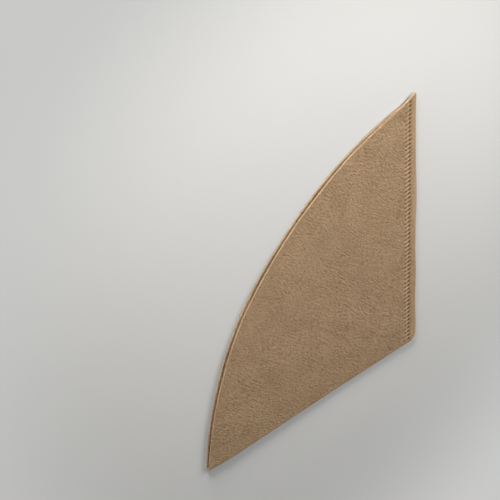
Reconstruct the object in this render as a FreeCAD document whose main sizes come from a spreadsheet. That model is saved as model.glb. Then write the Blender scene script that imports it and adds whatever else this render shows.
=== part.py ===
# Cone coffee filter of brown creped paper, lying flat, front face up. Millimetres, +Z up.
# One fan-shaped blank is folded in half, so the part is one solid with two plies: the fold runs
# along Y, the crimped seam that joins the plies along X, and the cone's tip is where they meet.
# The finished part is moved so that its origin is the middle of the underside's rectangle.
import FreeCAD, Part
import math
import os
import Sketcher
from FreeCAD import Matrix, Placement, Vector

os.makedirs("parts", exist_ok=True)
doc = FreeCAD.newDocument("coffee_filter")

# Driving sizes
SIZES = {
    "fold_side": 120.0,     # tip to mouth along the fold
    "seam_side": 126.0,     # tip to mouth along the crimped seam
    "mouth_radius": 135.0,  # arc of the cut mouth, struck from behind the tip
    "tip_round": 3.0,       # corner radius at the cone's tip
    "ply": 0.4,             # thickness of one layer of paper, crepe included
    "fold_round": 0.37,     # outer radius of the bend at the fold
    "mouth_gap": 1.5,       # how far the mouth stands open at the crown of its swell
    "crown_angle": 16.0,    # degrees at the tip between the fold and the crown of the swell
    "tab_width": 7.5,       # band along the seam where the plies are pressed together
    "ear_rise": 2.4,        # how far the seam's outer strip stands past the mouth
    "ear_width": 4.0,       # width of that strip's pointed end
    "rib_margin": 2.9,      # plain strip between the seam's edge and the crimps
    "rib_length": 3.8,      # length of one crimp, across the seam
    "rib_pitch": 2.1,       # step from crimp to crimp
    "rib_width": 1.2,       # width of one crimp at its foot
    "rib_top": 0.5,         # width of its flat top
    "rib_height": 0.2,      # height of one crimp above the paper
    "rib_start": 2.55,      # first crimp's distance from the fold
    "rib_end": 1.2,         # clear strip between the last crimp and the mouth
    "cut_clearance": 5.0,   # how far the cutting shapes reach past the paper
}

sheet = doc.addObject("Spreadsheet::Sheet", "Sizes")
for row, (alias, number) in enumerate(SIZES.items(), start=1):
    sheet.set(f"A{row}", alias)
    sheet.set(f"B{row}", str(number))
    sheet.setAlias(f"B{row}", alias)
doc.recompute()

# Rules that follow from the sizes, written as expressions on the sheet
FOLD, SEAM, RADIUS, PLY = (f"Sizes.{name}" for name in ("fold_side", "seam_side", "mouth_radius", "ply"))
TAB, OUT, EAR = "Sizes.tab_width", "Sizes.cut_clearance", "Sizes.ear_width"
CHORD = f"sqrt({FOLD}^2 + {SEAM}^2)"
ARM = f"sqrt({RADIUS}^2 - ({FOLD}^2 + {SEAM}^2) / 4)"
CENTRE_X = f"({SEAM} / 2 - {ARM} * {FOLD} / {CHORD})"
CENTRE_Y = f"({FOLD} / 2 - {ARM} * {SEAM} / {CHORD})"
EAR_FOOT = f"({CENTRE_X} + sqrt({RADIUS}^2 - ({EAR} - {CENTRE_Y})^2))"
EAR_TIP = f"({SEAM} + Sizes.ear_rise)"
POCKET_REACH = f"({RADIUS} + ({CENTRE_X} + {CENTRE_Y} - {PLY} - {TAB}) / sqrt(2))"
SECTION_REACH = f"({POCKET_REACH} + {OUT})"
FOLD_TO_MIDDLE = "(45 - Sizes.crown_angle)"
SECTION_GAP = f"(Sizes.mouth_gap * {SECTION_REACH} / {POCKET_REACH} / cos({FOLD_TO_MIDDLE}))"
RIB_COUNT = f"(floor(({SEAM} - Sizes.rib_start - Sizes.rib_end) / Sizes.rib_pitch) + 1)"
BLANK = f"({FOLD} + {SEAM})"
TOUCHING = 1e-6  # distance under which two points are one


def value(rule):
    """Return the number that an expression gives now."""
    return float(sheet.evalExpression(rule))


def plane_of(body, role):
    """Return the body's origin plane or axis that has this role."""
    return next(feature for feature in body.Origin.OriginFeatures if feature.Role == role)


def new_sketch(body, name, role, offset=Placement(), lift="0"):
    """Add a sketch on one of the body's origin planes, raised off it by the lift rule."""
    sketch = body.newObject("Sketcher::SketchObject", name)
    sketch.AttachmentSupport = [(plane_of(body, role), "")]
    sketch.MapMode = "FlatFace"
    sketch.AttachmentOffset = offset
    sketch.setExpression("AttachmentOffset.Base.z", lift)
    return sketch


def pin(sketch, geometry, point, x_rule, y_rule):
    """Hold a point of the sketch at two rules' distances from the sketch's origin."""
    for kind, rule in (("DistanceX", x_rule), ("DistanceY", y_rule)):
        index = sketch.addConstraint(Sketcher.Constraint(kind, -1, 1, geometry, point, value(rule)))
        sketch.setExpression(f"Constraints[{index}]", rule)


def draw_line(sketch, start, end):
    """Draw one straight edge between two corners, each a pair of rules."""
    ends = [Vector(value(x_rule), value(y_rule), 0) for x_rule, y_rule in (start, end)]
    line = sketch.addGeometry(Part.LineSegment(*ends))
    pin(sketch, line, 1, *start)
    pin(sketch, line, 2, *end)


def draw_arc(sketch, start, middle, end):
    """Draw one arc between two corners and return its index; middle is a guess that isn't held."""
    points = [Vector(value(x_rule), value(y_rule), 0) for x_rule, y_rule in (start, middle, end)]
    arc = sketch.addGeometry(Part.Arc(*points))
    starts_first = sketch.getPoint(arc, 1).distanceToPoint(points[0]) < TOUCHING
    pin(sketch, arc, 1 if starts_first else 2, *start)
    pin(sketch, arc, 2 if starts_first else 1, *end)
    return arc


def draw_arc_across(sketch, start, middle, end):
    """Draw one arc between two corners that also crosses the middle point."""
    arc = draw_arc(sketch, start, middle, end)
    crossing = sketch.addGeometry(Part.Point(Vector(value(middle[0]), value(middle[1]), 0)), True)
    pin(sketch, crossing, 1, *middle)
    sketch.addConstraint(Sketcher.Constraint("PointOnObject", crossing, 1, arc))


def draw_arc_to_crown(sketch, foot, crown):
    """Draw one arc from a foot up to the crown of an arch, where it runs level."""
    middle = (f"({foot[0]} * 0.3 + {crown[0]} * 0.7)", f"({crown[1]} * 0.91)")
    arc = draw_arc(sketch, foot, middle, crown)
    centre_x = sketch.getPoint(arc, 3).x
    index = sketch.addConstraint(Sketcher.Constraint("DistanceX", -1, 1, arc, 3, centre_x))
    sketch.setExpression(f"Constraints[{index}]", crown[0])


def draw_chain(sketch, corners):
    """Draw straight edges from each corner to the next."""
    for start, end in zip(corners, corners[1:]):
        draw_line(sketch, start, end)


def level_edges_on_fold(feature):
    """Return the names of the feature's straight edges that run along the fold's side."""
    names = []
    for number, edge in enumerate(feature.Shape.Edges, start=1):
        box = edge.BoundBox
        if abs(box.XMin) < TOUCHING and box.XLength < TOUCHING and box.ZLength < TOUCHING:
            names.append(f"Edge{number}")
    return names


def swell_section(body, name, base_rule):
    """Draw the opened ply's arch, square to the line from the pocket's point to mid mouth."""
    half = math.sqrt(0.5)
    turn = Placement(Matrix(-half, 0, half, 0, half, 0, half, 0, 0, 1, 0, 0, 0, 0, 0, 1))
    section = new_sketch(body, name, "XY_Plane", turn, base_rule)
    section.setExpression("AttachmentOffset.Base.x", f"{PLY} + {SECTION_REACH} / sqrt(2)")
    section.setExpression("AttachmentOffset.Base.y", f"{TAB} + {SECTION_REACH} / sqrt(2)")
    seam_foot, fold_foot = (f"-{SECTION_REACH}", "0"), (SECTION_REACH, "0")
    crown = (f"({SECTION_REACH} * tan({FOLD_TO_MIDDLE}))", SECTION_GAP)
    draw_line(section, seam_foot, fold_foot)
    draw_arc_to_crown(section, fold_foot, crown)
    draw_arc_to_crown(section, seam_foot, crown)
    return section


def swell(body, kind, name, base_rule):
    """Loft the arch to the pocket's point, where the fold meets the seam's pressed band."""
    section = swell_section(body, f"{name}_section", base_rule)
    point = new_sketch(body, f"{name}_point", "XY_Plane", lift=base_rule)
    dot = point.addGeometry(Part.Point(Vector(value(PLY), value(TAB), 0)))
    pin(point, dot, 1, PLY, TAB)
    doc.recompute()
    loft = body.newObject(f"PartDesign::{kind}Loft", name)
    loft.Profile = section
    loft.Sections = [(point, ["Vertex1"])]
    loft.Ruled = True
    doc.recompute()
    return loft


def cut_through(body, name, sketch):
    """Cut a drawn outline out of the body, above and below the sketch."""
    cut = body.newObject("PartDesign::Pocket", name)
    cut.Profile = sketch
    cut.Type = "ThroughAll"
    cut.Midplane = True
    doc.recompute()
    return cut


def plies(body):
    """Lay both plies flat on each other, as a square blank, and bend their shared edge round."""
    blank = new_sketch(body, "blank_outline", "XY_Plane")
    draw_chain(blank, [("0", "0"), (BLANK, "0"), (BLANK, BLANK), ("0", BLANK), ("0", "0")])
    pressed = body.newObject("PartDesign::Pad", "pressed_plies")
    pressed.Profile = blank
    pressed.setExpression("Length", f"2 * {PLY}")
    doc.recompute()
    fold = body.newObject("PartDesign::Fillet", "fold_bend")
    fold.Base = (pressed, level_edges_on_fold(pressed))
    fold.setExpression("Radius", f"min(Sizes.fold_round; 0.95 * {PLY})")
    doc.recompute()


def mouth(body):
    """Cut the round mouth, with the seam's outer strip left standing as a small pointed ear."""
    sketch = new_sketch(body, "mouth_outline", "XY_Plane")
    corners = [
        ("0", FOLD), (f"-{OUT}", FOLD), (f"-{OUT}", BLANK), (BLANK, BLANK),
        (BLANK, f"-{OUT}"), (EAR_TIP, f"-{OUT}"), (EAR_TIP, "0"), (EAR_FOOT, EAR),
    ]
    draw_chain(sketch, corners)
    half = f"{RADIUS} / sqrt(2)"
    draw_arc_across(sketch, corners[-1], (f"{CENTRE_X} + {half}", f"{CENTRE_Y} + {half}"), corners[0])
    return cut_through(body, "mouth_cut", sketch)


def tip(body):
    """Round the corner at the cone's tip, where the fold meets the seam's edge."""
    sketch = new_sketch(body, "tip_outline", "XY_Plane")
    turn = "Sizes.tip_round"
    middle = f"{turn} * (1 - sqrt(0.5))"
    corners = [("0", turn), (f"-{OUT}", turn), (f"-{OUT}", f"-{OUT}"), (turn, f"-{OUT}"), (turn, "0")]
    draw_chain(sketch, corners)
    draw_arc_across(sketch, corners[-1], (middle, middle), corners[0])
    return cut_through(body, "tip_cut", sketch)


def crimp(body, kind, name, base_rule):
    """Raise or cut one crimp: a rib with sloped flanks, its underside pressed in to match."""
    sketch = new_sketch(body, f"{name}_section", "XZ_Plane", lift="-(Sizes.rib_margin + Sizes.rib_length)")
    crown = f"{base_rule} + Sizes.rib_height"
    corners = [
        ("Sizes.rib_start - Sizes.rib_width / 2", base_rule), ("Sizes.rib_start - Sizes.rib_top / 2", crown),
        ("Sizes.rib_start + Sizes.rib_top / 2", crown), ("Sizes.rib_start + Sizes.rib_width / 2", base_rule),
    ]
    draw_chain(sketch, corners + corners[:1])
    feature = body.newObject(f"PartDesign::{kind}", name)
    feature.Profile = sketch
    feature.setExpression("Length", "Sizes.rib_length")
    feature.Reversed = kind == "Pocket"
    doc.recompute()
    return feature


def crimps(body):
    """Repeat the crimp along the seam, from the fold to the mouth."""
    originals = [crimp(body, "Pad", "rib", f"2 * {PLY}"), crimp(body, "Pocket", "rib_hollow", "0")]
    row_of_ribs = body.newObject("PartDesign::LinearPattern", "rib_row")
    row_of_ribs.Originals = originals
    row_of_ribs.Direction = (plane_of(body, "X_Axis"), [""])
    row_of_ribs.Mode = "Spacing"
    row_of_ribs.setExpression("Offset", "Sizes.rib_pitch")
    row_of_ribs.setExpression("Occurrences", RIB_COUNT)
    body.Tip = row_of_ribs
    doc.recompute()


def filter_paper():
    """Build the whole filter as one body."""
    body = doc.addObject("PartDesign::Body", "filter_paper")
    body.Label = "filter_paper"
    plies(body)
    swell(body, "Additive", "upper_ply_swell", f"2 * {PLY}")
    swell(body, "Subtractive", "pocket", PLY)
    mouth(body)
    tip(body)
    crimps(body)
    body.setExpression("Placement.Base.x", f"-{EAR_TIP} / 2")
    body.setExpression("Placement.Base.y", f"-{FOLD} / 2")
    doc.recompute()
    return body


part = filter_paper()
for item in doc.Objects:
    if "Invalid" in item.State or "Error" in item.State:
        raise RuntimeError(f"{item.Label} failed: {item.State}")
shape = part.Shape
if shape.isNull() or not shape.isValid() or len(shape.Solids) != 1:
    raise RuntimeError(f"{part.Label} isn't one valid solid")
shape.exportStep(f"parts/{part.Label}.step")
box = shape.optimalBoundingBox()
print(f"{part.Label}: {box.XLength:.2f} x {box.YLength:.2f} x {box.ZLength:.2f} mm, {shape.Volume:.0f} mm3")
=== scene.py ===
import logging
import math
from dataclasses import dataclass, field
from enum import Enum

import bpy
import numpy as np
from mathutils import Matrix, Vector


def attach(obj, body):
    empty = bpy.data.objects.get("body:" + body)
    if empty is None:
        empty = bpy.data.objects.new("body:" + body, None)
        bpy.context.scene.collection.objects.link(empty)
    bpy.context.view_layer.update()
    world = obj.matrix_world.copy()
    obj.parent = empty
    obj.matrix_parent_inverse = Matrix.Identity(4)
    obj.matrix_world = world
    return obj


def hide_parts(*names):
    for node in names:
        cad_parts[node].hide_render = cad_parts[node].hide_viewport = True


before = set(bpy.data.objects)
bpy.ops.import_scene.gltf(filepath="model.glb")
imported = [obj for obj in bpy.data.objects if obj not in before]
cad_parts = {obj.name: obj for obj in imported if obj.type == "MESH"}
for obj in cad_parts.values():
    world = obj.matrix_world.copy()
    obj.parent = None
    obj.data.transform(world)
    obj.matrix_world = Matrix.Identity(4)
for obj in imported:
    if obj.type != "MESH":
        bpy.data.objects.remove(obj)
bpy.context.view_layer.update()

log = logging.getLogger("coffee_filter")

NODE = "filter_paper"
BODY = "root"
PIECE = "folded_filter"
MM = 0.001

Colour = tuple[float, float, float, float]
Socket = bpy.types.NodeSocket


class Ply(Enum):
    """The two layers of the folded sheet."""

    LOWER = "lower"
    UPPER = "upper"


class Mark(Enum):
    """Marks of the crimping wheel, painted shade and highlight among them, kept on the mesh's
    points for the paper's finish.
    """

    # darker in the grooves and dents: the pressed paper's tone and painted shade
    PRESSED_AND_SHADED = "pressed"
    # painted highlight on the seam's cut edge and the rib tops, and a paler margin
    PALED_AND_HIGHLIT = "paled_and_highlit"
    IRONED = "ironed"


class Run(Enum):
    """Directions that the paper's grains run in, as turns from the seam's direction."""

    SEAM = 0.0
    HAIR = 0.6
    GRAIN = math.radians(36)
    SLANT = math.radians(54)
    CROSS = math.radians(96)


def smooth_step(value: np.ndarray | float) -> np.ndarray:
    """Return a smooth 0 to 1 ramp of values from 0 to 1, held outside."""
    held = np.clip(value, 0.0, 1.0)
    return held * held * (3 - 2 * held)


def bell(offset: np.ndarray | float) -> np.ndarray:
    """Return a bell curve: 1 at no offset and next to nothing from 2.5 on."""
    return np.exp(-(offset**2))


@dataclass(frozen=True)
class NoiseLayer:
    """One noise over the flat sheet, finer one way than the other."""

    across: float
    along: float
    run: Run
    detail: float
    roughness: float = 0.55
    distortion: float = 0.0


@dataclass(frozen=True)
class Coat:
    """A tone that lies over a finish where a noise is high, or where it is low."""

    layer: NoiseLayer
    bare: float  # the noise's value where the coat ends
    full: float  # its value where the coat is at its strongest
    share: float  # how much of the tone shows there
    tone: Colour


class NodeSheet:
    """A short hand for laying out one material's nodes."""

    def __init__(self, material: bpy.types.Material) -> None:
        """Clear the material's nodes.

        Args:
            material: The material to build.
        """
        material.use_nodes = True
        self.tree = material.node_tree
        self.tree.nodes.clear()
        self.place = self.tree.nodes.new("ShaderNodeTexCoord").outputs["Object"]
        self.noises: dict[NoiseLayer, Socket] = {}

    def node(self, kind: str, **settings: object) -> bpy.types.Node:
        """Add a node and set its properties.

        Args:
            kind: The node's type, without the leading "ShaderNode".
            **settings: Properties by name.

        Returns:
            The new node.
        """
        made = self.tree.nodes.new("ShaderNode" + kind)
        for name, value in settings.items():
            setattr(made, name, value)
        return made

    def plug(self, source: Socket | Colour | float, target: Socket) -> None:
        """Link a socket to another one, or set the other one to a number or a colour.

        Args:
            source: The socket, number or colour.
            target: The socket that takes it.
        """
        if isinstance(source, Socket):
            self.tree.links.new(source, target)
        else:
            target.default_value = source

    def mark(self, mark: Mark) -> Socket:
        """Return one of the crimping wheel's marks, which hold painted shade and highlight too,
        from 0 to 1.
        """
        return self.node("Attribute", attribute_name=mark.value).outputs["Fac"]

    def noise(self, layer: NoiseLayer) -> Socket:
        """Add a noise, or take the one that was added before for the same layer.

        Args:
            layer: The noise's grain, direction and detail.

        Returns:
            The noise's value, from 0 to 1 round a mean of 0.5.
        """
        if layer in self.noises:
            return self.noises[layer]
        turned = self.node("Mapping", vector_type="TEXTURE")
        turned.inputs["Rotation"].default_value = (0.0, 0.0, layer.run.value)
        turned.inputs["Scale"].default_value = (layer.along, layer.across, layer.across)
        self.plug(self.place, turned.inputs["Vector"])
        made = self.node("TexNoise", noise_dimensions="3D")
        made.inputs["Scale"].default_value = 1.0
        made.inputs["Detail"].default_value = layer.detail
        made.inputs["Roughness"].default_value = layer.roughness
        made.inputs["Distortion"].default_value = layer.distortion
        self.plug(turned.outputs["Vector"], made.inputs["Vector"])
        self.noises[layer] = made.outputs["Fac"]
        return self.noises[layer]

    def ramp(
        self, value: Socket, low: float, high: float, to_low: float, to_high: float
    ) -> Socket:
        """Spread values between low and high over another range, held at its ends.

        Args:
            value: The value to spread.
            low: Value that becomes to_low.
            high: Value that becomes to_high.
            to_low: The new range's first end.
            to_high: The new range's other end.

        Returns:
            The spread value.
        """
        made = self.node("MapRange", clamp=True, interpolation_type="SMOOTHSTEP")
        numbers = {"From Min": low, "From Max": high, "To Min": to_low, "To Max": to_high}
        for name, number in numbers.items():
            made.inputs[name].default_value = number
        self.plug(value, made.inputs["Value"])
        return made.outputs["Result"]

    def reckon(self, operation: str, first: Socket | float, second: Socket | float) -> Socket:
        """Reckon with two values.

        Args:
            operation: Name of the sum, such as "ADD".
            first: The first value.
            second: The second value.

        Returns:
            The result.
        """
        made = self.node("Math", operation=operation)
        self.plug(first, made.inputs[0])
        self.plug(second, made.inputs[1])
        return made.outputs["Value"]

    def blend(self, share: Socket, base: Socket | Colour, other: Colour) -> Socket:
        """Blend two colours.

        Args:
            share: How much of the other colour shows, from 0 to 1.
            base: The colour below.
            other: The colour over it.

        Returns:
            The blended colour.
        """
        made = self.node("Mix", data_type="RGBA")
        self.plug(share, made.inputs["Factor"])
        self.plug(base, made.inputs["A"])
        self.plug(other, made.inputs["B"])
        return made.outputs["Result"]

    def lay(self, coat: Coat, base: Socket | Colour) -> Socket:
        """Lay a coat over a colour, and return the colour that shows."""
        share = self.ramp(self.noise(coat.layer), coat.bare, coat.full, 0.0, coat.share)
        return self.blend(share, base, coat.tone)

    def bump(self, height: Socket, depth: float, under: Socket | None = None) -> Socket:
        """Add relief.

        Args:
            height: The relief, from 0 to 1.
            depth: Its depth, in metres.
            under: A relief that this one lies on, if there is one.

        Returns:
            The surface's direction with the relief on it.
        """
        made = self.node("Bump")
        made.inputs["Strength"].default_value = 1.0
        made.inputs["Distance"].default_value = depth
        self.plug(height, made.inputs["Height"])
        if under is not None:
            self.plug(under, made.inputs["Normal"])
        return made.outputs["Normal"]

    def matt(
        self, colour: Socket | Colour, roughness: float, gloss: float, normal: Socket | None = None
    ) -> Socket:
        """Add a matt surface.

        Args:
            colour: Its colour.
            roughness: How rough it is, from 0 to 1.
            gloss: How strongly it mirrors, from 0 to 1.
            normal: The surface's direction, if it has relief.

        Returns:
            The surface.
        """
        shader = self.node("BsdfPrincipled")
        self.plug(colour, shader.inputs["Base Color"])
        shader.inputs["Roughness"].default_value = roughness
        shader.inputs["Specular IOR Level"].default_value = gloss
        if normal is not None:
            self.plug(normal, shader.inputs["Normal"])
        return shader.outputs["BSDF"]

    def show(self, surface: Socket) -> None:
        """Show a surface as the material's own."""
        self.plug(surface, self.node("OutputMaterial").inputs["Surface"])


@dataclass(frozen=True)
class CrepedPaper:
    """Unbleached creped filter paper: soft clouds, matted fibres, dark flecks and short creases."""

    name: str = "brown creped paper"
    tone: Colour = (0.335, 0.222, 0.126, 1.0)
    pale: Colour = (0.480, 0.335, 0.203, 1.0)
    deep: Colour = (0.195, 0.120, 0.061, 1.0)
    bark: Colour = (0.130, 0.076, 0.039, 1.0)
    # painted shade in the grooves and dents, over the pressed paper's darker tone
    pressed_and_shaded_tone: Colour = (0.085, 0.037, 0.010, 1.0)
    clouds: NoiseLayer = NoiseLayer(9 * MM, 14 * MM, Run.GRAIN, 3.0)
    mottle: NoiseLayer = NoiseLayer(0.56 * MM, 1.9 * MM, Run.GRAIN, 3.0, 0.6, 0.4)
    fibres: NoiseLayer = NoiseLayer(0.12 * MM, 0.9 * MM, Run.CROSS, 2.0, 0.6, 0.8)
    fleck: NoiseLayer = NoiseLayer(0.50 * MM, 1.4 * MM, Run.SLANT, 1.0)
    creases: NoiseLayer = NoiseLayer(0.50 * MM, 2.5 * MM, Run.SLANT, 2.5, 0.55, 0.7)
    wrinkles: NoiseLayer = NoiseLayer(0.56 * MM, 2.2 * MM, Run.GRAIN, 2.5, 0.55, 0.7)
    ticks: NoiseLayer = NoiseLayer(0.54 * MM, 1.5 * MM, Run.CROSS, 1.0, 0.5, 0.5)
    wrinkle_depth: float = 0.36 * MM
    fibre_depth: float = 0.035 * MM
    tick_share: float = 0.7
    ironed_share: float = 0.25
    pressed_and_shaded_share: float = 0.95
    roughness: float = 0.92
    gloss: float = 0.18

    def coats(self) -> tuple[Coat, ...]:
        """Return the tones that lie over the paper's own colour, from the first to the last."""
        return (
            Coat(self.clouds, bare=0.32, full=0.68, share=0.30, tone=self.pale),
            Coat(self.mottle, bare=0.49, full=0.30, share=0.80, tone=self.deep),
            Coat(self.mottle, bare=0.52, full=0.72, share=0.80, tone=self.pale),
            Coat(self.fibres, bare=0.58, full=0.80, share=0.45, tone=self.pale),
            Coat(self.fleck, bare=0.74, full=0.82, share=0.60, tone=self.bark),
        )

    def relief(self, sheet: NodeSheet) -> Socket:
        """Lay out the paper's relief.

        Args:
            sheet: The material's nodes.

        Returns:
            The surface's direction, with creases that are flatter under the wheel, and fibres.
        """
        creases = sheet.reckon("ADD", sheet.noise(self.creases), sheet.noise(self.wrinkles))
        ticks = sheet.reckon("MULTIPLY", sheet.noise(self.ticks), self.tick_share)
        height = sheet.reckon("ADD", creases, ticks)
        left = sheet.ramp(sheet.mark(Mark.IRONED), 0.0, 1.0, 1.0, self.ironed_share)
        creased = sheet.bump(sheet.reckon("MULTIPLY", height, left), self.wrinkle_depth)
        return sheet.bump(sheet.noise(self.fibres), self.fibre_depth, creased)

    def make(self) -> bpy.types.Material:
        """Build the material.

        Returns:
            The paper of both plies' faces.
        """
        material = bpy.data.materials.new(self.name)
        sheet = NodeSheet(material)
        colour = self.tone
        for coat in self.coats():
            colour = sheet.lay(coat, colour)
        # painted highlight on the seam's cut edge and the rib tops, and a paler margin
        colour = sheet.blend(sheet.mark(Mark.PALED_AND_HIGHLIT), colour, self.pale)
        # painted shade in the grooves and dents, with the pressed paper's darker tone
        pressed = sheet.reckon("MULTIPLY", sheet.mark(Mark.PRESSED_AND_SHADED), self.pressed_and_shaded_share)
        colour = sheet.blend(pressed, colour, self.pressed_and_shaded_tone)
        sheet.show(sheet.matt(colour, self.roughness, self.gloss, self.relief(sheet)))
        return material


@dataclass(frozen=True)
class CutEdge:
    """The paper's cut edges, hairier than its faces, and paler: partly the cut fibres, partly a
    painted highlight where the lamps catch the rims.
    """

    name: str = "cut paper edge"
    # painted highlight: the rims' pale tone stands partly for the light that catches them
    tone: Colour = (0.74, 0.55, 0.35, 1.0)
    shade: Colour = (0.56, 0.40, 0.24, 1.0)
    fray: NoiseLayer = NoiseLayer(0.5 * MM, 1.1 * MM, Run.SEAM, 3.0, 0.6)
    hair: NoiseLayer = NoiseLayer(0.12 * MM, 0.3 * MM, Run.HAIR, 2.0)
    hair_depth: float = 0.05 * MM
    roughness: float = 0.95
    gloss: float = 0.1

    def make(self) -> bpy.types.Material:
        """Build the material.

        Returns:
            The paper of the sheet's cut edges.
        """
        material = bpy.data.materials.new(self.name)
        sheet = NodeSheet(material)
        frayed = Coat(self.fray, bare=0.35, full=0.65, share=1.0, tone=self.shade)
        colour = sheet.lay(frayed, self.tone)
        normal = sheet.bump(sheet.noise(self.hair), self.hair_depth)
        sheet.show(sheet.matt(colour, self.roughness, self.gloss, normal))
        return material


@dataclass(frozen=True)
class Stray:
    """A stretch of the seam where the cut strays outwards."""

    place: float
    spread: float
    height: float


@dataclass(frozen=True)
class Blank:
    """Outline of the folded blank, in metres from the cone's sharp tip.

    X runs along the crimped seam and Y along the fold, both from the tip to the mouth.

    Attributes:
        fold_side: Length of the folded side.
        seam_side: Length of the crimped side, without the ear.
        mouth_radius: Radius of the mouth's arc.
        tip_round: Radius of the tip's corner.
        fold_corner_round: Radius of the corner between fold and mouth.
        ear_rise: How far the seam's pointed ear goes on past the crimped side.
        ear_width: Width of the ear's slope, from the seam's edge.
        ply: Thickness of the paper.
        last_row: Distance from the seam to the last line of mesh points.
        bulge: How far the mouth's cut strays outside its arc near the fold.
        bulge_place: Distance from the seam to the middle of that bulge.
        bulge_spread: Half its length.
        bulge_end: Distance from the fold side's end over which it goes back to nothing.
        fold_belly: How far the sprung fold stands outside a straight line.
        belly_start: Distance from the tip over which the belly rises.
        belly_end: Distance from the mouth over which it falls.
        strays: Where the cut along the seam strays.
    """

    fold_side: float = 120.0 * MM
    seam_side: float = 126.0 * MM
    mouth_radius: float = 135.0 * MM
    tip_round: float = 2.4 * MM
    fold_corner_round: float = 0.8 * MM
    ear_rise: float = 2.4 * MM
    ear_width: float = 6.5 * MM
    ply: float = 0.4 * MM
    last_row: float = 119.9 * MM
    bulge: float = 1.4 * MM
    bulge_place: float = 99.0 * MM
    bulge_spread: float = 18.0 * MM
    bulge_end: float = 12.0 * MM
    fold_belly: float = 0.90 * MM
    belly_start: float = 3.0 * MM
    belly_end: float = 14.0 * MM
    strays: tuple[Stray, ...] = (
        Stray(9.0 * MM, 7.0 * MM, 0.30 * MM),
        Stray(36.0 * MM, 9.0 * MM, 0.40 * MM),
        Stray(77.0 * MM, 14.0 * MM, 0.62 * MM),
        Stray(104.0 * MM, 10.0 * MM, 0.22 * MM),
    )

    def mouth_centre(self) -> tuple[float, float]:
        """Find the centre of the mouth's arc.

        Returns:
            The X and Y that the arc is struck from, behind the tip.
        """
        chord = math.hypot(self.fold_side, self.seam_side)
        arm = math.sqrt(self.mouth_radius**2 - chord**2 / 4)
        return (
            self.seam_side / 2 - arm * self.fold_side / chord,
            self.fold_side / 2 - arm * self.seam_side / chord,
        )

    def ear_x(self) -> float:
        """Return the X of the ear's point, the farthest that the paper reaches."""
        return self.seam_side + self.ear_rise

    def bulge_at(self, y: float) -> float:
        """Return how far the mouth's cut strays outside its arc, y out from the seam."""
        near = bell((y - self.bulge_place) / self.bulge_spread)
        return self.bulge * near * min(1.0, (self.fold_side - y) / self.bulge_end)

    def stray_at(self, x: np.ndarray) -> np.ndarray:
        """Return how far the seam's cut strays outside a straight line, x from the tip."""
        return sum(
            stray.height * bell((x - stray.place) / stray.spread) for stray in self.strays
        )

    def arc_x(self, y: float, radius: float) -> float:
        """Return the X of an arc round the mouth's centre, y out from the seam."""
        centre_x, centre_y = self.mouth_centre()
        return centre_x + math.sqrt(radius**2 - (y - centre_y) ** 2)

    def mouth_x(self, y: float) -> float:
        """Find how far the paper reaches along the seam's direction.

        Args:
            y: Distance from the seam's edge.

        Returns:
            The mouth's X there: the arc, and beside the seam the slope of its pointed ear.
        """
        if y >= self.ear_width:
            return self.arc_x(y, self.mouth_radius + self.bulge_at(y))
        foot = self.arc_x(self.ear_width, self.mouth_radius)
        return foot + (self.ear_x() - foot) * (1 - y / self.ear_width)

    def belly(self, y: float) -> float:
        """Return how far the sprung fold stands outside a straight line, y out from the seam."""
        start, end = y / self.belly_start, (self.fold_side - y) / self.belly_end
        return self.fold_belly * float(smooth_step(start) * smooth_step(end))

    def fold_x(self, y: float) -> float:
        """Find the X of the fold's outside.

        Args:
            y: Distance from the seam's edge.

        Returns:
            The fold's X there, with its belly, and drawn in at the two round corners.
        """
        if y < self.tip_round:
            return self.drawn_in(self.tip_round, self.tip_round - y) - self.belly(y)
        corner = self.fold_side - self.fold_corner_round
        if y > corner:
            return self.drawn_in(self.fold_corner_round, y - corner)
        return -self.belly(y)

    @staticmethod
    def drawn_in(radius: float, past: float) -> float:
        """Return how far a round corner draws in, at a distance past its start."""
        return radius - math.sqrt(radius**2 - past**2)


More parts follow.
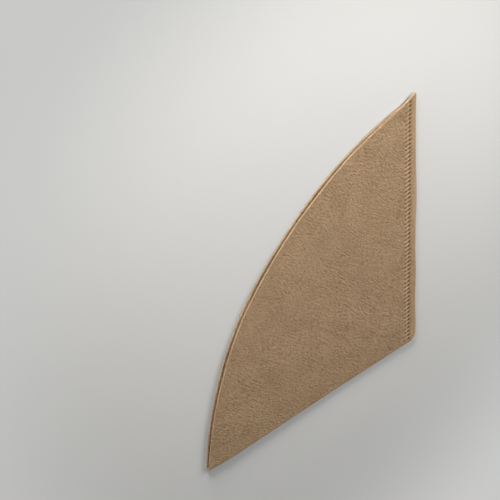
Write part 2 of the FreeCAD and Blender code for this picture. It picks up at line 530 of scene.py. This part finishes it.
@dataclass(frozen=True)
class Crimps:
    """The row of short ribs that holds the two plies together along the seam.

    Attributes:
        seam_side: Length of the seam that the row follows.
        margin: Width of the plain paper between the seam's edge and the ribs.
        length: Length of a rib.
        lean: Slope of the row to the seam's edge.
        pitch: Distance from one rib to the next.
        height: How far a rib stands up.
        groove: Half width of the groove between two ribs.
        groove_depth: How deep a groove is pressed.
        start: Distance from the tip to the first rib.
        end: Length of the plain paper after the last one.
        overrun: How far the row goes on past its last groove, as a share of the pitch.
        soft_end: Length over which a rib rises at its ends.
        dent_places: Distances of the small dents at a groove's ends from the seam's edge.
        dent_depths: Depths of those dents.
        dent_radius: Radius of a dent.
        swing_slope: How steeply a groove bends towards the tip between its dents.
        hook_slope: How steeply it bends back past its inner dent.
        hook_reach: How far that hook goes on.
        fading: How much weaker the ribs are at the mouth.
        fading_from: Distance from the tip at which they start to weaken.
        fading_over: Length over which they do.
        crowding: How close the mesh's points are drawn over the grooves, from 0 to 1.
        crowd_past: How far past the ribs the points are still drawn.
        crowd_soft: Width over which that ends.
    """

    seam_side: float = Blank.seam_side
    margin: float = 3.05 * MM
    length: float = 3.4 * MM
    lean: float = 0.006
    pitch: float = 2.1 * MM
    height: float = 0.15 * MM
    groove: float = 0.36 * MM
    groove_depth: float = 0.08 * MM
    start: float = 2.55 * MM
    end: float = 0.4 * MM
    overrun: float = 0.6
    soft_end: float = 0.5 * MM
    dent_places: tuple[float, float] = (3.60 * MM, 5.75 * MM)
    dent_depths: tuple[float, float] = (0.10 * MM, 0.06 * MM)
    dent_radius: float = 0.50 * MM
    swing_slope: float = 0.22
    hook_slope: float = 0.45
    hook_reach: float = 0.8 * MM
    fading: float = 0.6
    fading_from: float = 98.0 * MM
    fading_over: float = 18.0 * MM
    crowding: float = 0.55
    crowd_past: float = 1.5 * MM
    crowd_soft: float = 1.2 * MM

    def first_groove(self) -> float:
        """Return the first groove's distance from the tip."""
        return self.start - self.pitch / 2

    def askew(self, x: np.ndarray, y: np.ndarray) -> np.ndarray:
        """Return y as the wheel saw it, which ran a little askew to the seam's edge."""
        return y - self.lean * (self.seam_side / 2 - x)

    def swing(self, y: np.ndarray | float) -> np.ndarray:
        """Find how far a groove is off its straight line.

        Args:
            y: Distances from the seam's edge.

        Returns:
            Distances towards the tip: the groove bends, and hooks back at its inner end.
        """
        outer, inner = self.dent_places
        bend = self.swing_slope * np.clip(y - outer, 0.0, inner - outer)
        return bend - self.hook_slope * np.clip(y - inner, 0.0, self.hook_reach)

    def beside(self, x: np.ndarray) -> tuple[np.ndarray, np.ndarray]:
        """Find the groove between two ribs that is nearest to each point.

        Args:
            x: Distances along the seam.

        Returns:
            The distances from the grooves' middles, and 1 inside the row's length or 0 outside.
        """
        first = self.first_groove()
        last = int((self.seam_side - self.end - first) / self.pitch)
        index = np.clip(np.round((x - first) / self.pitch), 0, last)
        row_end = first + (last + self.overrun) * self.pitch
        inside = (x > first - self.pitch / 2) & (x < row_end)
        return x - first - index * self.pitch, inside.astype(float)

    def locate(
        self, x: np.ndarray, y: np.ndarray
    ) -> tuple[np.ndarray, np.ndarray, np.ndarray]:
        """Find where points are on the row.

        Args:
            x: Distances along the seam.
            y: Distances from the seam's edge.

        Returns:
            The distances from the edge as the wheel ran, the distances from the middle of the
            nearest groove, and 1 inside the row's length or 0 outside.
        """
        wheel_y = self.askew(x, y)
        off, inside = self.beside(x + self.swing(wheel_y))
        return wheel_y, off, inside

    def lengthwise(self, wheel_y: np.ndarray, past: float) -> np.ndarray:
        """Find the part of the ribs' length that points lie on.

        Args:
            wheel_y: Distances from the edge as the wheel ran.
            past: How far beyond a rib's length its soft ends reach.

        Returns:
            1 along a rib, and less on its ends.
        """
        outer = smooth_step((wheel_y - self.margin + past) / self.soft_end)
        return outer * smooth_step((self.margin + self.length + past - wheel_y) / self.soft_end)

    def firmness(self, x: np.ndarray) -> np.ndarray:
        """Return how firmly the ribs were rolled, 1 or less: near the mouth the dents stay."""
        return 1 - self.fading * smooth_step((x - self.fading_from) / self.fading_over)

    def dent(self, off: np.ndarray, wheel_y: np.ndarray, place: float) -> np.ndarray:
        """Return 1 in the middle of the small dents at one end of the grooves, and less beside."""
        return bell(np.hypot(off, wheel_y - place) / self.dent_radius)

    def relief(self, x: np.ndarray, y: np.ndarray) -> np.ndarray:
        """Find the height that the crimping wheel gives the paper.

        Args:
            x: Distances along the seam.
            y: Distances from the seam's edge.

        Returns:
            Heights above the flat paper: rounded ribs across the seam, with pressed grooves
            between them and a dent at each end of a groove.
        """
        wheel_y, off, inside = self.locate(x, y)
        pressed = bell(off / self.groove)
        ribs = (self.height * (1 - pressed) - self.groove_depth * pressed) * inside
        ribs *= self.lengthwise(wheel_y, self.soft_end / 2) * self.firmness(x)
        for place, depth in zip(self.dent_places, self.dent_depths):
            ribs -= depth * self.dent(off, wheel_y, place) * inside
        return ribs

    def gather(self, x: np.ndarray, y: float) -> np.ndarray:
        """Draw a mesh row's points closer together over the grooves.

        Args:
            x: The row's evenly spaced places along the seam.
            y: The row's distance from the seam's edge.

        Returns:
            Places with the same ends, crowded round each groove while the row is near the crimps.
        """
        ribs_end = self.margin + self.length + self.crowd_past
        share = float(smooth_step((ribs_end - y) / self.crowd_soft))
        ends = np.clip(np.minimum(x - x[0], x[-1] - x) / self.pitch, 0.0, 1.0)
        turn = 2 * math.pi * (x + float(self.swing(y)) - self.first_groove()) / self.pitch
        return x - self.crowding * share * ends * self.pitch / (2 * math.pi) * np.sin(turn)


@dataclass(frozen=True)
class WheelMarks:
    """What the crimping wheel does to the paper's tone and crepe, with painted shade and highlight,
    as shares from 0 to 1.
    """

    crimps: Crimps = field(default_factory=Crimps)
    # painted shade: how dark a groove's line and its dents are painted
    line_shade: float = 0.50
    line_width: float = 0.8  # of the groove's own
    dent_shades: tuple[float, float] = (2.2, 0.6)  # outer and inner, over 1 for a wide dot
    flat_past: float = 0.35 * MM
    flat_soft: float = 0.7 * MM
    margin_flat: float = 0.45
    margin_soft: float = 0.6 * MM
    # painted highlight on the seam's cut edge and on the rib tops, where the lamps catch them
    edge_highlight: float = 0.8
    edge_reach: float = 0.7 * MM
    margin_pale: float = 0.22
    margin_gap: float = 0.1 * MM
    rib_top_highlight: float = 0.55
    rib_foot: float = 1.2  # of the groove's width stays without the painted highlight

    def pressed(self, x: np.ndarray, y: np.ndarray) -> np.ndarray:
        """Find how hard the wheel pressed the paper, which leaves it darker, with painted shade in
        the grooves and dents.

        Args:
            x: Distances along the seam.
            y: Distances from the seam's edge.

        Returns:
            Shares, highest in the dents.
        """
        crimps = self.crimps
        wheel_y, off, inside = crimps.locate(x, y)
        line = self.line_shade * bell(off / (self.line_width * crimps.groove))
        line *= crimps.lengthwise(wheel_y, 0.0) * crimps.firmness(x)
        dots = sum(
            shade * crimps.dent(off, wheel_y, place)
            for place, shade in zip(crimps.dent_places, self.dent_shades)
        )
        return np.clip(line + dots, 0.0, 1.0) * inside

    def ironed(self, x: np.ndarray, y: np.ndarray) -> np.ndarray:
        """Find how flat the wheel rolled the crepe.

        Args:
            x: Distances along the seam.
            y: Distances from the seam's edge.

        Returns:
            Shares: 1 over the crimps, less on the margin and 0 on the open paper.
        """
        crimps = self.crimps
        wheel_y = crimps.askew(x, y)
        rolled_end = crimps.margin + crimps.length + self.flat_past
        inner = smooth_step((rolled_end - wheel_y) / self.flat_soft)
        outer = smooth_step((wheel_y - crimps.margin + self.margin_soft) / self.margin_soft)
        return inner * (self.margin_flat + (1 - self.margin_flat) * outer)

    def paled_and_highlit(self, x: np.ndarray, y: np.ndarray) -> np.ndarray:
        """Find how much paler the paper is painted: a painted highlight on the cut edge and the rib
        tops, and a paler margin.

        Args:
            x: Distances along the seam.
            y: Distances from the seam's edge.

        Returns:
            Shares: most at the cut edge, less on the ribs and the margin.
        """
        crimps = self.crimps
        edge = self.edge_highlight * smooth_step((self.edge_reach - y) / self.margin_soft)
        wheel_y, off, inside = crimps.locate(x, y)
        margin_end = crimps.margin - self.margin_gap
        margin = self.margin_pale * smooth_step((margin_end - wheel_y) / self.margin_soft)
        ribs = self.rib_top_highlight * (1 - bell(off / (self.rib_foot * crimps.groove))) * inside
        ribs *= crimps.lengthwise(wheel_y, 0.0) * crimps.firmness(x)
        return np.maximum(np.maximum(margin, edge), ribs)

    def shares(self, x: np.ndarray, y: np.ndarray) -> dict[Mark, np.ndarray]:
        """Return every mark's shares at points of the flat sheet."""
        return {
            Mark.PRESSED_AND_SHADED: self.pressed(x, y),
            Mark.PALED_AND_HIGHLIT: self.paled_and_highlit(x, y),
            Mark.IRONED: self.ironed(x, y),
        }


@dataclass(frozen=True)
class Swell:
    """How far the upper ply stands off the lower one.

    The gap grows evenly from the pocket's point, where fold and seam meet, to the mouth.
    """

    mouth_gap: float = 1.45 * MM
    tab_width: float = 7.5 * MM
    soft_start: float = 0.8 * MM
    contact: float = 0.01 * MM  # between plies that touch
    point: float = 1e-9  # keeps a direction at the pocket's very point
    quick_share: float = 0.62  # of the gap opens at once, beside the band that holds
    quick_rise: float = 0.05
    fold_hold: float = 0.26  # of the gap is held down by the fold
    hold_from: float = 0.86
    ripple: float = 0.12 * MM
    ripple_length: float = 31.0 * MM
    ripple_phase: float = 0.6
    ripple_start: float = 0.2
    ripple_end: float = 0.15
    arc_share: float = 1.2  # the mouth's length in widths of the pocket

    def opening(self, share: np.ndarray) -> np.ndarray:
        """Find the gap at the mouth, without its ripples.

        Args:
            share: Shares of the way from the crimped seam to the fold.

        Returns:
            The gap there.
        """
        rise = self.quick_share * (1 - np.exp(-share / self.quick_rise))
        rise += (1 - self.quick_share) * share
        near_fold = smooth_step((share - self.hold_from) / (1 - self.hold_from))
        return self.mouth_gap * rise * (1 - self.fold_hold * near_fold)

    def waves(self, share: np.ndarray, full: float) -> np.ndarray:
        """Find the ripples at the mouth.

        Args:
            share: Shares of the way from the crimped seam to the fold.
            full: The pocket's whole width.

        Returns:
            Their heights, with none at the seam and at the fold.
        """
        along = share * full * self.arc_share / self.ripple_length
        waves = self.ripple * np.sin(2 * np.pi * along + self.ripple_phase)
        waves *= smooth_step(share / self.ripple_start)
        return waves * smooth_step((1 - share) / self.ripple_end)

    def gap(self, x: np.ndarray, y: np.ndarray, blank: Blank) -> np.ndarray:
        """Find the gap between the plies.

        Args:
            x: Distances from the fold.
            y: Distances from the seam's edge.
            blank: The folded blank.

        Returns:
            A cone-like swell, held shut along the seam and sprung open a little by the fold.
        """
        across = np.maximum(x - blank.ply, 0.0)
        along = np.maximum(y - self.tab_width, 0.0)
        along = along**2 / (along + self.soft_start)
        reach = np.hypot(across, along)
        full = blank.fold_side - self.tab_width
        share = np.arctan2(along, across + self.point) / (math.pi / 2)
        return self.contact + (self.opening(share) + self.waves(share, full)) * reach / full


@dataclass(frozen=True)
class Curl:
    """The seam's edge, which stands a little off the floor on its own stiffness."""

    rise: float = 0.65 * MM
    reach: float = 50.0 * MM
    fall: float = 1.5
    ear_rise: float = 0.35 * MM
    ear_reach: float = 16.0 * MM
    ear_fall: float = 2.0

    def relief(self, x: np.ndarray, y: np.ndarray, ear_x: float) -> np.ndarray:
        """Find the lift of both plies at points of the flat sheet.

        Args:
            x: Distances from the fold.
            y: Distances from the seam's edge.
            ear_x: Where the ear's point is.

        Returns:
            Heights that fall to nothing away from the seam.
        """
        seam = self.rise * np.clip(1 - y / self.reach, 0.0, 1.0) ** self.fall
        away = np.hypot(ear_x - x, y)
        return seam + self.ear_rise * np.clip(1 - away / self.ear_reach, 0.0, 1.0) ** self.ear_fall


@dataclass(frozen=True)
class Crepe:
    """Slow, shallow waves that creped paper keeps when it lies flat."""

    height: float = 0.035 * MM
    sway: float = 0.5
    shortest: float = 7.0 * MM
    longest: float = 24.0 * MM
    heading: float = -37.0  # in degrees, as their scatter
    scatter: float = 28.0
    waves: int = 14
    seed: int = 41

    def relief(self, x: np.ndarray, y: np.ndarray) -> np.ndarray:
        """Find the waves' height at points of the flat sheet.

        Args:
            x: Distances from the fold.
            y: Distances from the seam's edge.

        Returns:
            Heights above the lying sheet's lowest places.
        """
        dice = np.random.default_rng(self.seed)
        total = np.zeros_like(x)
        for _ in range(self.waves):
            length = dice.uniform(self.shortest, self.longest)
            angle = math.radians(self.heading + dice.normal(0.0, self.scatter))
            phase = dice.uniform(0.0, 2 * math.pi)
            along = x * math.cos(angle) + y * math.sin(angle)
            total += np.sin(2 * np.pi * along / length + phase)
        return self.height * (1 + total / math.sqrt(self.waves) * self.sway)


@dataclass
class Row:
    """One line of mesh points across the whole sheet, at one distance from the seam."""

    y: float
    cells: int
    first: int = 0

    def size(self, bend_points: int) -> int:
        """Return how many points the row has."""
        return 2 * (self.cells + 1) + bend_points


@dataclass(frozen=True)
class RowPlan:
    """Where the mesh lines lie: close together over the crimps, wider over the open paper."""

    margin_places: tuple[float, ...] = (0.0, 0.3 * MM, 0.75 * MM, 1.6 * MM, 2.45 * MM)
    band_end: float = 8.0 * MM
    band_rows: int = 17
    close_steps: tuple[float, float] = (0.45 * MM, 1.0 * MM)
    open_step: float = 1.15 * MM
    tail: float = 5.0 * MM
    tail_rows: int = 14
    tail_crowding: float = 1.7
    fine_cells: int = 512
    open_share: int = 4  # times fewer cells on the open paper
    least_cell: float = 0.62 * MM
    least_cells: int = 4

    def band(self) -> np.ndarray:
        """Find the lines over the margin and the crimps.

        Returns:
            Their distances from the seam.
        """
        foot = self.margin_places[-1]
        shares = np.arange(1, self.band_rows + 1) / self.band_rows
        return np.concatenate([self.margin_places, shares * (self.band_end - foot) + foot])

    def open_lines(self, blank: Blank) -> np.ndarray:
        """Find the lines over the open paper.

        Args:
            blank: The folded blank.

        Returns:
            Their distances from the seam.
        """
        close = self.band_end + np.array(self.close_steps)
        start = close[-1] + self.open_step
        wide = np.arange(start, blank.fold_side - self.tail, self.open_step)
        shares = np.linspace(0.0, 1.0, self.tail_rows + 1)[1:]
        eased = 1 - (1 - shares) ** self.tail_crowding
        tail = wide[-1] + (blank.last_row - wide[-1]) * eased
        return np.concatenate([close, wide, tail])

    def cells(self, width: float, before: int) -> int:
        """Choose how many cells a line on the open paper has.

        Args:
            width: The line's length.
            before: How many cells the line before it has.

        Returns:
            A number that keeps the cells wide enough, and is half the one before at least.
        """
        wanted = self.fine_cells // self.open_share
        while wanted > self.least_cells and width / wanted < self.least_cell:
            wanted //= 2
        return max(wanted, before // 2)

    def rows(self, blank: Blank, bend_points: int) -> list[Row]:
        """Lay out all the lines.

        Args:
            blank: The folded blank.
            bend_points: How many points a line has on the fold's bend.

        Returns:
            The lines, from the seam on, each with the index of its first point.
        """
        rows = [Row(float(y), self.fine_cells) for y in self.band()]
        for y in self.open_lines(blank):
            width = blank.mouth_x(y) - blank.fold_x(y)
            rows.append(Row(float(y), self.cells(width, rows[-1].cells)))
        for before, row in zip(rows, rows[1:]):
            row.first = before.first + before.size(bend_points)
        return rows


@dataclass(frozen=True)
class FoldedSheet:
    """The whole filter: one sheet of paper, folded in half and crimped."""

    blank: Blank = field(default_factory=Blank)
    marks: WheelMarks = field(default_factory=WheelMarks)
    swell: Swell = field(default_factory=Swell)
    curl: Curl = field(default_factory=Curl)
    crepe: Crepe = field(default_factory=Crepe)
    plan: RowPlan = field(default_factory=RowPlan)
    paper: CrepedPaper = field(default_factory=CrepedPaper)
    cut: CutEdge = field(default_factory=CutEdge)
    bend_points: int = 7
    bend_share: float = 0.35

    def tip(self) -> Vector:
        """Return the sharp tip's place in the part's frame, which has its middle at X and Y 0."""
        return Vector((-self.blank.ear_x() / 2, -self.blank.fold_side / 2, 0.0))

    def heights(self, ply: Ply, x: np.ndarray, y: np.ndarray) -> np.ndarray:
        """Find the middle height of one ply's paper.

        Args:
            ply: The ply.
            x: Distances from the fold.
            y: Distances from the seam's edge.

        Returns:
            Heights above the floor at these points of the folded blank.
        """
        crimped = self.marks.crimps.relief(x, y)
        lower = self.blank.ply / 2 + np.maximum(crimped, 0.0) + self.crepe.relief(x, y)
        lower += self.curl.relief(x, y, self.blank.ear_x())
        if ply is Ply.LOWER:
            return lower
        pressed = np.minimum(crimped, 0.0)
        return lower + self.blank.ply + self.swell.gap(x, y, self.blank) + pressed

    def row_points(self, row: Row) -> np.ndarray:
        """Lay out one row's points.

        Args:
            row: The row.

        Returns:
            Its points, from the lower ply's mouth round the fold to the upper one's.
        """
        outside, mouth = self.blank.fold_x(row.y), self.blank.mouth_x(row.y)
        spring = float(self.swell.gap(np.array([0.0]), np.array([row.y]), self.blank)[0])
        bend = min((self.blank.ply + spring) / 2, self.bend_share * (mouth - outside))
        inner = outside + self.blank.ply / 2 + bend
        even = inner + (mouth - inner) * np.linspace(0.0, 1.0, row.cells + 1)
        x = self.marks.crimps.gather(even, row.y)
        y = np.full_like(x, row.y)
        lower = np.stack([x, y, self.heights(Ply.LOWER, x, y)], axis=1)
        upper = np.stack([x, y, self.heights(Ply.UPPER, x, y)], axis=1)
        angles = np.linspace(0.0, math.pi, self.bend_points + 2)[1:-1]
        low, high = lower[0, 2], upper[0, 2]
        round_z = (low + high) / 2 - (high - low) / 2 * np.cos(angles)
        round_x = inner - bend * np.sin(angles)
        fold = np.stack([round_x, np.full_like(round_x, row.y), round_z], axis=1)
        points = np.concatenate([lower[::-1], fold, upper])
        near_edge = max(0.0, 1 - row.y / self.marks.crimps.margin)
        points[:, 1] -= self.blank.stray_at(points[:, 0]) * near_edge
        return points

    def faces(self, rows: list[Row]) -> list[tuple[int, ...]]:
        """Join each row to the next one.

        Args:
            rows: The rows, from the seam on.

        Returns:
            The faces' points: four to a cell, or three triangles where the cells halve.
        """
        faces: list[tuple[int, ...]] = []
        turns = self.bend_points + 1
        for near, far in zip(rows, rows[1:]):
            near_fold, far_fold = near.first + near.cells, far.first + far.cells
            faces += self.strip(near_fold, turns, far_fold, turns)
            faces += self.strip(near.first, near.cells, far.first, far.cells)
            faces += self.strip(near_fold + turns, near.cells, far_fold + turns, far.cells)
        return faces

    @staticmethod
    def strip(near: int, near_cells: int, far: int, far_cells: int) -> list[tuple[int, ...]]:
        """Join two runs of points.

        Args:
            near: First point of the run nearer to the seam.
            near_cells: How many cells it has.
            far: First point of the other run.
            far_cells: How many cells that has: as many, or half as many.

        Returns:
            The faces between them.
        """
        if near_cells == far_cells:
            return [(near + i, near + i + 1, far + i + 1, far + i) for i in range(near_cells)]
        found: list[tuple[int, ...]] = []
        for i in range(far_cells):
            a, b = near + 2 * i, far + i
            found += [(a, a + 1, b), (a + 1, a + 2, b + 1), (a + 1, b + 1, b)]
        return found

    def build(self) -> bpy.types.Object:
        """Make the sheet with its real thickness, and dress it.

        Returns:
            The sheet, in the part's frame.
        """
        rows = self.plan.rows(self.blank, self.bend_points)
        points = np.concatenate([self.row_points(row) for row in rows])
        mesh = bpy.data.meshes.new(PIECE)
        mesh.from_pydata((points + np.array(self.tip())).tolist(), [], self.faces(rows))
        for mark, shares in self.marks.shares(points[:, 0], points[:, 1]).items():
            layer = mesh.attributes.new(mark.value, "FLOAT", "POINT")
            layer.data.foreach_set("value", shares.astype(np.float32))
        mesh.polygons.foreach_set("use_smooth", [True] * len(mesh.polygons))
        sheet = bpy.data.objects.new(PIECE, mesh)
        bpy.context.collection.objects.link(sheet)
        self.thicken(sheet)
        self.dress(sheet)
        return sheet

    def thicken(self, sheet: bpy.types.Object) -> None:
        """Give the flat mesh the paper's thickness, with face material 1 on its cut edges.

        Args:
            sheet: The sheet, whose mesh is the middle of the paper.
        """
        shell = sheet.modifiers.new("paper_thickness", "SOLIDIFY")
        shell.thickness = self.blank.ply
        shell.offset = 0.0
        shell.use_rim = True
        shell.material_offset_rim = 1
        bpy.context.view_layer.update()
        solid = bpy.data.meshes.new_from_object(
            sheet.evaluated_get(bpy.context.evaluated_depsgraph_get())
        )
        sheet.modifiers.clear()
        middle = sheet.data
        sheet.data = solid
        bpy.data.meshes.remove(middle)
        solid.name = PIECE

    def dress(self, sheet: bpy.types.Object) -> None:
        """Give the sheet its finishes, put it under the part's body, and hide the part's own mesh.

        Args:
            sheet: The sheet with its thickness.
        """
        sheet.data.materials.clear()
        sheet.data.materials.append(self.paper.make())
        sheet.data.materials.append(self.cut.make())
        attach(sheet, BODY)
        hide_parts(NODE)


@dataclass(frozen=True)
class PaleFloor:
    """A plain pale floor with no edge in sight, of one even tone away from the filter."""

    side: float = 6.0
    top: float = -0.05 * MM
    tone: Colour = (0.64, 0.64, 0.63, 1.0)
    even: Colour = (0.58, 0.58, 0.57, 1.0)
    lit_reach: float = 0.09  # metres from the filter's middle that show the paint
    even_reach: float = 0.22
    roughness: float = 0.9
    gloss: float = 0.1

    def build(self) -> bpy.types.Object:
        """Make the floor.

        Returns:
            The floor object.
        """
        half = self.side / 2
        mesh = bpy.data.meshes.new("pale_floor")
        corners = [(-half, -half, self.top), (half, -half, self.top)]
        corners += [(half, half, self.top), (-half, half, self.top)]
        mesh.from_pydata(corners, [], [(0, 1, 2, 3)])
        floor = bpy.data.objects.new("pale_floor", mesh)
        bpy.context.collection.objects.link(floor)
        mesh.materials.append(self.paint())
        return floor

    def paint(self) -> bpy.types.Material:
        """Build the floor's material.

        Returns:
            Matt paint that shows shadows near the filter, and an even tone farther out.
        """
        material = bpy.data.materials.new("pale floor paint")
        sheet = NodeSheet(material)
        even = sheet.node("Emission")
        even.inputs["Color"].default_value = self.even
        reach = sheet.node("VectorMath", operation="LENGTH")
        sheet.plug(sheet.place, reach.inputs[0])
        far = sheet.ramp(reach.outputs["Value"], self.lit_reach, self.even_reach, 0.0, 1.0)
        seen = sheet.node("LightPath").outputs["Is Camera Ray"]
        choice = sheet.node("MixShader")
        sheet.plug(sheet.reckon("MULTIPLY", far, seen), choice.inputs["Fac"])
        sheet.plug(sheet.matt(self.tone, self.roughness, self.gloss), choice.inputs[1])
        sheet.plug(even.outputs["Emission"], choice.inputs[2])
        sheet.show(choice.outputs["Shader"])
        return material


@dataclass(frozen=True)
class SoftLight:
    """One studio lamp with an oblong face, turned to the filter and out of the camera's sight."""

    name: str
    place: tuple[float, float, float]
    wide: float
    high: float
    power: float  # in watts
    spread: float = math.pi
    tone: tuple[float, float, float] = (1.0, 0.98, 0.95)

    def build(self) -> bpy.types.Object:
        """Hang the lamp.

        Returns:
            The lamp, pointing at the middle of the filter.
        """
        lamp = bpy.data.lights.new(self.name, "AREA")
        lamp.shape = "RECTANGLE"
        lamp.size = self.wide
        lamp.size_y = self.high
        lamp.energy = self.power
        lamp.spread = self.spread
        lamp.color = self.tone
        hung = bpy.data.objects.new(self.name, lamp)
        hung.visible_camera = False
        hung.location = self.place
        hung.rotation_euler = Vector(self.place).to_track_quat("Z", "Y").to_euler()
        bpy.context.collection.objects.link(hung)
        return hung


@dataclass(frozen=True)
class Studio:
    """The lamps and the pale surroundings."""

    lamps: tuple[SoftLight, ...] = (
        SoftLight("low window", (0.37, 0.10, 0.080), 0.30, 0.10, 0.41, math.radians(60)),
        SoftLight("high window", (0.16, -0.25, 0.20), 0.24, 0.24, 1.00),
        SoftLight("side window", (-0.10, 0.30, 0.022), 0.25, 0.03, 0.09, math.radians(80)),
    )
    surround: Colour = (0.93, 0.96, 1.0, 1.0)
    surround_level: float = 0.17
    backdrop: Colour = (0.80, 0.80, 0.79, 1.0)

    def build(self) -> list[bpy.types.Object]:
        """Hang the lamps and set the surroundings.

        Returns:
            The lamps.
        """
        world = bpy.data.worlds.new("studio")
        world.use_nodes = True
        tree = world.node_tree
        lit = tree.nodes["Background"]
        lit.inputs["Color"].default_value = self.surround
        lit.inputs["Strength"].default_value = self.surround_level
        seen = tree.nodes.new("ShaderNodeBackground")
        seen.inputs["Color"].default_value = self.backdrop
        choice = tree.nodes.new("ShaderNodeMixShader")
        rays = tree.nodes.new("ShaderNodeLightPath")
        tree.links.new(rays.outputs["Is Camera Ray"], choice.inputs[0])
        tree.links.new(lit.outputs["Background"], choice.inputs[1])
        tree.links.new(seen.outputs["Background"], choice.inputs[2])
        tree.links.new(choice.outputs["Shader"], tree.nodes["World Output"].inputs["Surface"])
        bpy.context.scene.world = world
        return [lamp.build() for lamp in self.lamps]


@dataclass(frozen=True)
class Viewpoint:
    """The camera, with the filter's crimped edge upright at the right of the picture."""

    aim: tuple[float, float, float] = (35.4 * MM, 32.7 * MM, 1.5 * MM)
    distance: float = 1179.4 * MM
    bearing: float = math.radians(40.15)
    elevation: float = math.radians(35.88)
    lean: float = math.radians(122.5)
    lens: float = 216.6  # in millimetres, as the film's width
    film: float = 36.0
    near: float = 0.01

    def build(self) -> bpy.types.Object:
        """Place the camera and make it the scene's own.

        Returns:
            The camera object.
        """
        level = math.cos(self.elevation)
        east, north = level * math.cos(self.bearing), level * math.sin(self.bearing)
        back = Vector((east, north, math.sin(self.elevation)))
        data = bpy.data.cameras.new("camera")
        data.lens = self.lens
        data.sensor_width = self.film
        data.clip_start = self.near
        camera = bpy.data.objects.new("camera", data)
        facing = back.to_track_quat("Z", "Y").to_matrix().to_4x4()
        turn = facing @ Matrix.Rotation(self.lean, 4, "Z")
        camera.matrix_world = Matrix.Translation(Vector(self.aim) + back * self.distance) @ turn
        bpy.context.collection.objects.link(camera)
        bpy.context.scene.camera = camera
        return camera


def main() -> None:
    """Build the filter, and set up the studio round it."""
    logging.basicConfig(level=logging.INFO, format="%(message)s")
    bpy.context.scene.view_settings.view_transform = "Standard"

    paper = FoldedSheet().build()
    paper.data.calc_loop_triangles()
    triangles = len(paper.data.loop_triangles)
    log.info("%s: one sheet of creped paper, %d triangles", paper.name, triangles)
    floor = PaleFloor().build()
    log.info("%s: the surface that the filter lies on", floor.name)
    for lamp in Studio().build():
        log.info("%s: a soft lamp of %.2f W", lamp.name, lamp.data.energy)
    camera = Viewpoint().build()
    log.info("%s: %.1f mm lens", camera.name, camera.data.lens)


if __name__ == "__main__":
    main()
